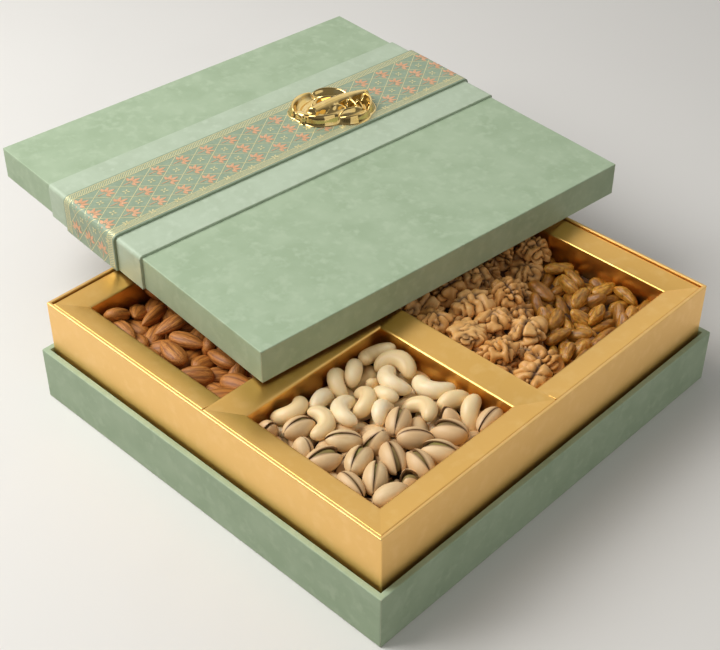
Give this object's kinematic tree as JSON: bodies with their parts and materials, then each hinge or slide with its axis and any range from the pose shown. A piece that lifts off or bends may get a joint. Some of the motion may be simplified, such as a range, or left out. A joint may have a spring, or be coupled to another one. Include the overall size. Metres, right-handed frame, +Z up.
{
  "type": "sweet box",
  "caption": "Shoulder gift box for sweets and nuts: paper-covered base, gold collar, lift-out wells of nuts and a lift-off lid with a printed band and cast ornament.",
  "frame": {"origin": "centre of the base tray's underside", "axes": "+Z up, +X to the right and -Y to the front of the box; the open lid lies towards -X and +Y"},
  "size_m": [0.3742, 0.3286, 0.0984],
  "materials": {
    "greyboard": "raw",
    "stay_paper": "matt",
    "sage_paper": "mottled matt",
    "lining_paper": "matt",
    "foil_paper": "gold foil",
    "foil_card": "gold foil",
    "pistachio_shell": "dry",
    "almond_skin": "ridged",
    "walnut_kernel": "wrinkled",
    "cashew_kernel": "smooth",
    "golden_raisin": "wrinkled",
    "pale_green_card": "matt",
    "printed_card": "metallic print",
    "cast_brass": "polished"
  },
  "bodies": {
    "box": {"base_board": "greyboard", "base_corner_stays": "stay_paper", "base_wrap": "sage_paper", "base_bottom_paper": "sage_paper", "base_lining": "lining_paper", "collar_board": "greyboard", "collar_foil": "foil_paper"},
    "front_well": {"well_front": "foil_card", "bedded_nuts_front": "pistachio_shell", "pistachios": "pistachio_shell", "cashews": "cashew_kernel"},
    "left_well": {"well_left": "foil_card", "bedded_nuts_left": "almond_skin", "almonds": "almond_skin"},
    "right_well": {"well_right": "foil_card", "bedded_nuts_right": "walnut_kernel", "walnuts": "walnut_kernel", "raisins": "golden_raisin"},
    "back_well": {"well_back": "foil_card", "bedded_nuts_back": "cashew_kernel", "cashews_back": "cashew_kernel"},
    "lid": {"lid_board": "greyboard", "lid_corner_stays": "stay_paper", "lid_wrap": "sage_paper", "lid_lining": "lining_paper", "band_plain": "pale_green_card", "band_print": "printed_card", "ornament": "cast_brass"}
  },
  "joints": [
    {"name": "lid_lift", "type": "slide", "parent": "box", "child": "lid", "axis": [0, 0, 1], "range_m": [0, 0.16]},
    {"name": "front_well_lift", "type": "slide", "parent": "box", "child": "front_well", "axis": [0, 0, 1], "range_m": [0, 0.066]},
    {"name": "left_well_lift", "type": "slide", "parent": "box", "child": "left_well", "axis": [0, 0, 1], "range_m": [0, 0.066]},
    {"name": "right_well_lift", "type": "slide", "parent": "box", "child": "right_well", "axis": [0, 0, 1], "range_m": [0, 0.066]},
    {"name": "back_well_lift", "type": "slide", "parent": "box", "child": "back_well", "axis": [0, 0, 1], "range_m": [0, 0.066]}
  ],
  "couplings": [
    {"joint": "front_well_lift", "follows": "lid_lift", "ratio": 0.41},
    {"joint": "left_well_lift", "follows": "lid_lift", "ratio": 0.41},
    {"joint": "right_well_lift", "follows": "lid_lift", "ratio": 0.41},
    {"joint": "back_well_lift", "follows": "lid_lift", "ratio": 0.41}
  ]
}
